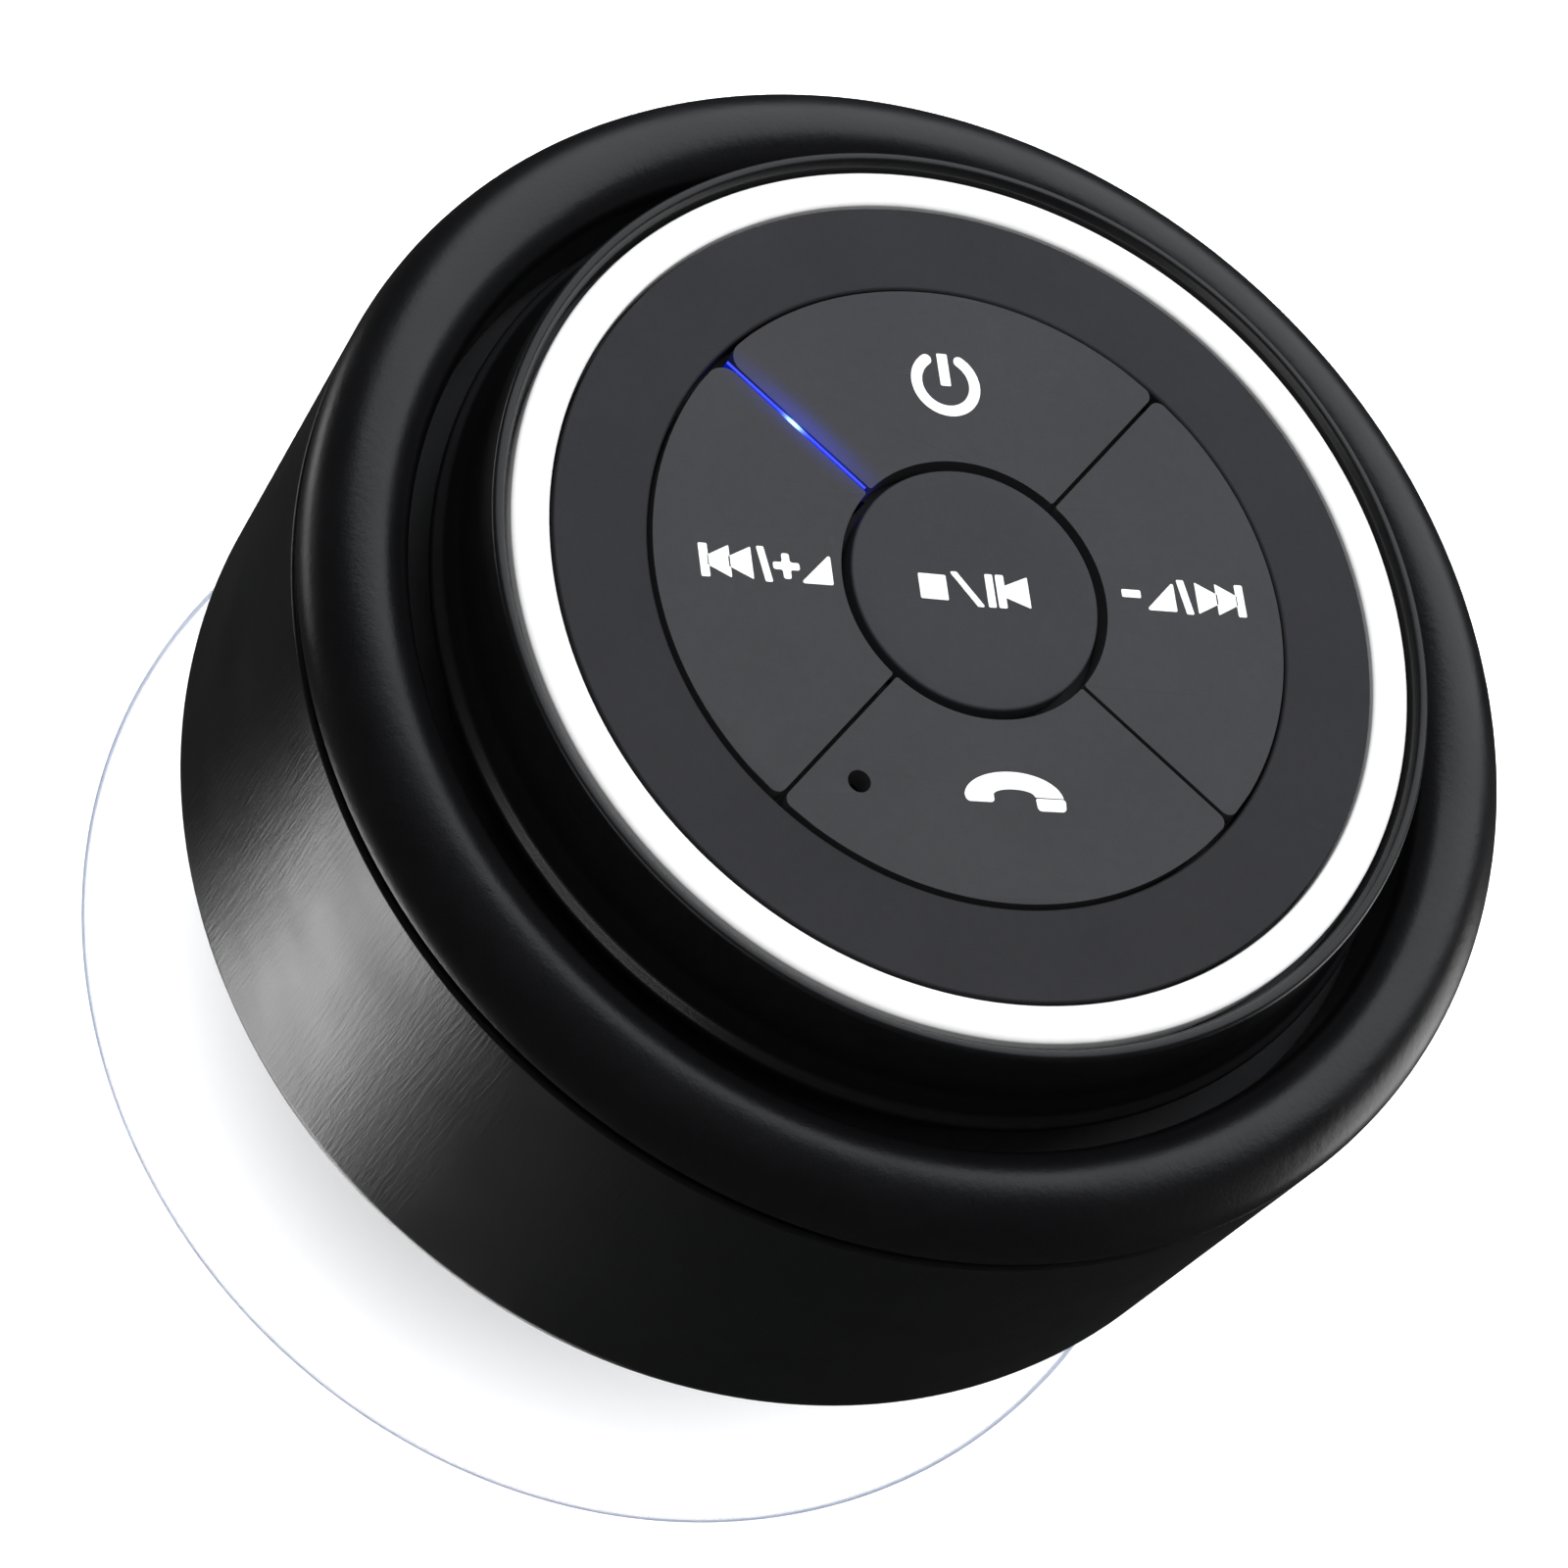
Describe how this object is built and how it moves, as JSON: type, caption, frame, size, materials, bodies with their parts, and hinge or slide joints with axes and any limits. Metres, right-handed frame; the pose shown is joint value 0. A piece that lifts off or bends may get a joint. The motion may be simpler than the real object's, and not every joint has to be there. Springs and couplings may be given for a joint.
{
  "type": "shower speaker",
  "caption": "Round waterproof speaker with a raised key pod, fat front ring and black drum, held to a wall by a clear suction cup.",
  "frame": {"origin": "centre of the suction cup's rim plane, which the speaker stands on or is pressed to a wall with", "axes": "+Z away from the wall along the speaker's axis, out through the keys; +Y towards the power key, which is up when it hangs on a wall; +X towards the charging port"},
  "size_m": [0.088, 0.088, 0.0639],
  "materials": {
    "rubber_coat": "soft-touch rubber coat with a fine grain",
    "pod_black": "satin black with a fine grain",
    "face_grey": "matt, finely textured",
    "key_grey": "matt, finely textured",
    "play_grey": "satin",
    "trim_white": "semi-gloss white",
    "clear_pvc": "clear and soft",
    "light_blue": "clear light pipe, lit blue",
    "silicone_black": "matt silicone",
    "inner_black": "as moulded",
    "circuit_green": "solder mask",
    "chip_black": "moulded epoxy",
    "steel": "plated",
    "brass": "machined",
    "copper": "enamelled winding",
    "ferrite": "ground ferrite",
    "paper_cone": "coated paper",
    "spider_cloth": "resin-dipped cloth",
    "battery_foil": "satin pouch foil",
    "led_white": "white resin"
  },
  "bodies": {
    "housing": {"rear_housing": "rubber_coat", "threaded_insert": "brass", "front_ring": "rubber_coat", "body_o_ring": "silicone_black", "slot_mesh": "inner_black", "front_baffle": "inner_black", "pod_shell": "pod_black", "pod_base": "inner_black", "trim_ring": "trim_white", "face_plate": "face_grey", "light_pipe": "light_blue", "status_led": "led_white", "key_seal": "silicone_black", "key_board": "circuit_green", "microphone": "steel", "power_switch": "chip_black", "previous_switch": "chip_black", "next_switch": "chip_black", "call_switch": "chip_black", "play_switch": "chip_black", "driver_basket": "steel", "driver_top_plate": "steel", "driver_magnet": "ferrite", "driver_yoke": "steel", "spider": "spider_cloth", "surround": "silicone_black", "battery": "battery_foil", "main_board": "circuit_green", "usb_socket": "steel", "bluetooth_module": "chip_black", "amplifier_chip": "chip_black", "housing_screw_1": "steel", "housing_screw_2": "steel", "housing_screw_3": "steel", "housing_screw_4": "steel", "driver_screw_1": "steel", "driver_screw_2": "steel", "driver_screw_3": "steel", "driver_screw_4": "steel"},
    "power_key": {"power_key": "key_grey"},
    "previous_key": {"previous_key": "key_grey"},
    "next_key": {"next_key": "key_grey"},
    "call_key": {"call_key": "key_grey"},
    "play_key": {"play_key": "play_grey"},
    "power_plunger": {"power_plunger": "led_white"},
    "previous_plunger": {"previous_plunger": "led_white"},
    "next_plunger": {"next_plunger": "led_white"},
    "call_plunger": {"call_plunger": "led_white"},
    "play_plunger": {"play_plunger": "led_white"},
    "cone": {"cone": "paper_cone", "voice_coil": "copper", "dust_cap": "paper_cone"},
    "port_plug": {"port_plug": "silicone_black"},
    "suction_cup": {"suction_cup": "clear_pvc", "cup_stud": "inner_black"}
  },
  "joints": [
    {"name": "power_press", "type": "slide", "parent": "housing", "child": "power_key", "axis": [0, 0, -1], "range_m": [0, 0.0005], "stiffness_N_per_m": 2000},
    {"name": "previous_press", "type": "slide", "parent": "housing", "child": "previous_key", "axis": [0, 0, -1], "range_m": [0, 0.0005], "stiffness_N_per_m": 2000},
    {"name": "next_press", "type": "slide", "parent": "housing", "child": "next_key", "axis": [0, 0, -1], "range_m": [0, 0.0005], "stiffness_N_per_m": 2000},
    {"name": "call_press", "type": "slide", "parent": "housing", "child": "call_key", "axis": [0, 0, -1], "range_m": [0, 0.0005], "stiffness_N_per_m": 2000},
    {"name": "play_press", "type": "slide", "parent": "housing", "child": "play_key", "axis": [0, 0, -1], "range_m": [0, 0.0005], "stiffness_N_per_m": 2000},
    {"name": "power_plunger_travel", "type": "slide", "parent": "housing", "child": "power_plunger", "axis": [0, 0, -1], "range_m": [0, 0.0005]},
    {"name": "previous_plunger_travel", "type": "slide", "parent": "housing", "child": "previous_plunger", "axis": [0, 0, -1], "range_m": [0, 0.0005]},
    {"name": "next_plunger_travel", "type": "slide", "parent": "housing", "child": "next_plunger", "axis": [0, 0, -1], "range_m": [0, 0.0005]},
    {"name": "call_plunger_travel", "type": "slide", "parent": "housing", "child": "call_plunger", "axis": [0, 0, -1], "range_m": [0, 0.0005]},
    {"name": "play_plunger_travel", "type": "slide", "parent": "housing", "child": "play_plunger", "axis": [0, 0, -1], "range_m": [0, 0.0005]},
    {"name": "cone_travel", "type": "slide", "parent": "housing", "child": "cone", "axis": [0, 0, 1], "range_m": [-0.001, 0.001], "stiffness_N_per_m": 2000},
    {"name": "port_flap", "type": "hinge", "parent": "housing", "child": "port_plug", "pos_m": [0.0429, 0.0069, 0.0342], "axis": [0, 0, 1], "range_deg": [0, 110]},
    {"name": "cup_turn", "type": "hinge", "parent": "housing", "child": "suction_cup", "pos_m": [0, 0, 0.02], "axis": [0, 0, 1], "continuous": true}
  ],
  "couplings": [
    {"joint": "power_plunger_travel", "follows": "power_press", "ratio": 1},
    {"joint": "previous_plunger_travel", "follows": "previous_press", "ratio": 1},
    {"joint": "next_plunger_travel", "follows": "next_press", "ratio": 1},
    {"joint": "call_plunger_travel", "follows": "call_press", "ratio": 1},
    {"joint": "play_plunger_travel", "follows": "play_press", "ratio": 1}
  ]
}
